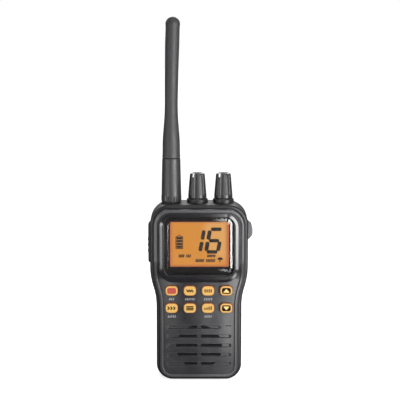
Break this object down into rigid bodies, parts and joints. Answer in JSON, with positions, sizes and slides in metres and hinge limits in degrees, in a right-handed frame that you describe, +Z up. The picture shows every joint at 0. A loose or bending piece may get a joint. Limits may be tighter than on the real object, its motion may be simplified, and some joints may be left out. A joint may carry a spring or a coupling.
{
  "type": "handheld marine vhf radio",
  "caption": "Submersible handheld marine radio with a lit display, soft keys, two top knobs, a screw-on antenna, a side talk key and a swing-out battery pack with a belt clip.",
  "frame": {"origin": "on the flat base, on the case's centre plane, 2 mm in front of the knobs' axes", "axes": "+Z up along the antenna, -Y out of the display, +X to the accessory jack"},
  "size_m": [0.0667, 0.0458, 0.23],
  "materials": {
    "case_plastic": "fine matt moulded texture, warm black",
    "bezel_plastic": "polished black",
    "lens_plastic": "clear hard-coated, black printed border",
    "display_tray": "flat black",
    "display_glass": "lit amber, dark segments",
    "light_guide": "clear, amber lit",
    "key_amber": "translucent silicone, backlit amber",
    "key_red": "translucent silicone, red, backlit",
    "key_black": "satin silicone with a backlit arrow",
    "keypad_silicone": "translucent silicone",
    "talk_rubber": "matt moulded rubber",
    "flap_rubber": "matt moulded rubber",
    "seal_rubber": "satin",
    "antenna_rubber": "satin black elastomer",
    "antenna_plastic": "satin black",
    "knob_plastic": "satin black, white pointer line",
    "brass_gold": "machined, gold flashed",
    "brass_nickel": "machined, nickel plated",
    "stainless": "turned and passivated",
    "black_steel": "black zinc",
    "spring_steel": "rolled, bright",
    "speaker_steel": "pressed, zinc plated",
    "speaker_cone": "treated film",
    "membrane_film": "black breathable film",
    "board_green": "solder mask",
    "tinplate": "bright tin",
    "chassis_alloy": "die cast",
    "control_body": "moulded, black",
    "jack_plastic": "moulded, black",
    "pack_plastic": "fine matt moulded texture",
    "cell_foil": "laminated foil",
    "copper_wound": "enamelled copper winding"
  },
  "bodies": {
    "radio": {"housing_shell": "case_plastic", "front_cover": "case_plastic", "case_seal": "seal_rubber", "display_bezel": "bezel_plastic", "display_lens": "lens_plastic", "lcd_frame": "display_tray", "lcd_panel": "display_glass", "light_guide": "light_guide", "keypad_sheet": "keypad_silicone", "speaker_membrane": "membrane_film", "speaker": "speaker_steel", "speaker_cone": "speaker_cone", "microphone_boot": "seal_rubber", "microphone": "tinplate", "control_board": "board_green", "main_board": "board_green", "shield_can": "tinplate", "chassis": "chassis_alloy", "board_screws": "stainless", "case_screws": "stainless", "rotary_controls": "control_body", "antenna_stud": "brass_nickel", "talk_switch": "control_body", "jack_socket": "jack_plastic", "jack_flap_anchor": "flap_rubber", "battery_terminals": "brass_gold", "lock_insert": "brass_nickel", "charge_contacts": "brass_gold", "strap_eyelet": "case_plastic"},
    "antenna_washer": {"antenna_seal": "seal_rubber"},
    "antenna": {"antenna_insert": "brass_nickel", "antenna_grip_ring": "antenna_plastic", "antenna_sleeve": "antenna_plastic", "antenna_whip": "antenna_rubber", "antenna_core": "copper_wound"},
    "volume": {"volume_knob": "knob_plastic", "volume_shaft": "stainless"},
    "squelch": {"squelch_knob": "knob_plastic", "squelch_shaft": "stainless"},
    "talk": {"talk_key": "talk_rubber"},
    "flap": {"jack_flap": "flap_rubber"},
    "battery_pack": {"battery_case": "pack_plastic", "battery_cells": "cell_foil", "battery_pads": "brass_gold", "battery_cover": "pack_plastic", "clip_base": "pack_plastic", "clip_screws": "black_steel", "clip_pin": "stainless", "clip_spring": "spring_steel"},
    "lock_washer": {"lock_seal": "seal_rubber"},
    "lock": {"lock_screw": "stainless"},
    "belt_clip": {"clip_lever": "pack_plastic"},
    "distress_key": {"key_distress": "key_red"},
    "weather_key": {"key_weather": "key_amber"},
    "region_key": {"key_region": "key_amber"},
    "channel_up_key": {"key_channel_up": "key_black"},
    "scan_key": {"key_scan": "key_amber"},
    "memory_key": {"key_memory": "key_amber"},
    "power_key": {"key_power": "key_amber"},
    "channel_down_key": {"key_channel_down": "key_black"}
  },
  "joints": [
    {"name": "antenna_lift", "type": "slide", "parent": "radio", "child": "antenna_washer", "axis": [0, 0, 1], "range_m": [0, 0.00423]},
    {"name": "antenna_turn", "type": "hinge", "parent": "antenna_washer", "child": "antenna", "pos_m": [-0.0176, 0.002, 0], "axis": [0, 0, 1], "range_deg": [0, 2160]},
    {"name": "volume_turn", "type": "hinge", "parent": "radio", "child": "volume", "pos_m": [-0.00105, 0.002, 0], "axis": [0, 0, 1], "range_deg": [-165, 115]},
    {"name": "squelch_turn", "type": "hinge", "parent": "radio", "child": "squelch", "pos_m": [0.0155, 0.002, 0], "axis": [0, 0, 1], "range_deg": [-165, 115]},
    {"name": "talk_press", "type": "slide", "parent": "radio", "child": "talk", "axis": [1, 0, 0], "range_m": [0, 0.0009], "stiffness_N_per_m": 2500, "springref_m": -0.0004},
    {"name": "flap_swing", "type": "hinge", "parent": "radio", "child": "flap", "pos_m": [0.03165, 0.0094, 0.0954], "axis": [0, 0, 1], "range_deg": [0, 120]},
    {"name": "pack_swing", "type": "hinge", "parent": "radio", "child": "battery_pack", "pos_m": [0, 0.0126, 0.0762], "axis": [1, 0, 0], "range_deg": [0, 20]},
    {"name": "lock_travel", "type": "slide", "parent": "battery_pack", "child": "lock_washer", "axis": [0, 1, 0], "range_m": [0, 0.0044]},
    {"name": "lock_turn", "type": "hinge", "parent": "lock_washer", "child": "lock", "pos_m": [0, 0.0126, 0.0082], "axis": [0, 1, 0], "range_deg": [0, 2263]},
    {"name": "clip_swing", "type": "hinge", "parent": "battery_pack", "child": "belt_clip", "pos_m": [0, 0.0236, 0.0592], "axis": [1, 0, 0], "range_deg": [0, 20], "stiffness_Nm_per_rad": 0.3, "springref_deg": -14.32, "deforming": ["clip_spring"]},
    {"name": "distress_press", "type": "slide", "parent": "radio", "child": "distress_key", "axis": [0, 1, 0], "range_m": [0, 0.0007], "stiffness_N_per_m": 1500, "springref_m": -0.0003},
    {"name": "weather_press", "type": "slide", "parent": "radio", "child": "weather_key", "axis": [0, 1, 0], "range_m": [0, 0.0007], "stiffness_N_per_m": 1500, "springref_m": -0.0003},
    {"name": "region_press", "type": "slide", "parent": "radio", "child": "region_key", "axis": [0, 1, 0], "range_m": [0, 0.0007], "stiffness_N_per_m": 1500, "springref_m": -0.0003},
    {"name": "channel_up_press", "type": "slide", "parent": "radio", "child": "channel_up_key", "axis": [0, 1, 0], "range_m": [0, 0.0007], "stiffness_N_per_m": 1500, "springref_m": -0.0003},
    {"name": "scan_press", "type": "slide", "parent": "radio", "child": "scan_key", "axis": [0, 1, 0], "range_m": [0, 0.0007], "stiffness_N_per_m": 1500, "springref_m": -0.0003},
    {"name": "memory_press", "type": "slide", "parent": "radio", "child": "memory_key", "axis": [0, 1, 0], "range_m": [0, 0.0007], "stiffness_N_per_m": 1500, "springref_m": -0.0003},
    {"name": "power_press", "type": "slide", "parent": "radio", "child": "power_key", "axis": [0, 1, 0], "range_m": [0, 0.0007], "stiffness_N_per_m": 1500, "springref_m": -0.0003},
    {"name": "channel_down_press", "type": "slide", "parent": "radio", "child": "channel_down_key", "axis": [0, 1, 0], "range_m": [0, 0.0007], "stiffness_N_per_m": 1500, "springref_m": -0.0003}
  ],
  "couplings": [
    {"joint": "antenna_turn", "follows": "antenna_lift", "rad_per_m": 8904.7},
    {"joint": "lock_turn", "follows": "lock_travel", "rad_per_m": 8976}
  ]
}
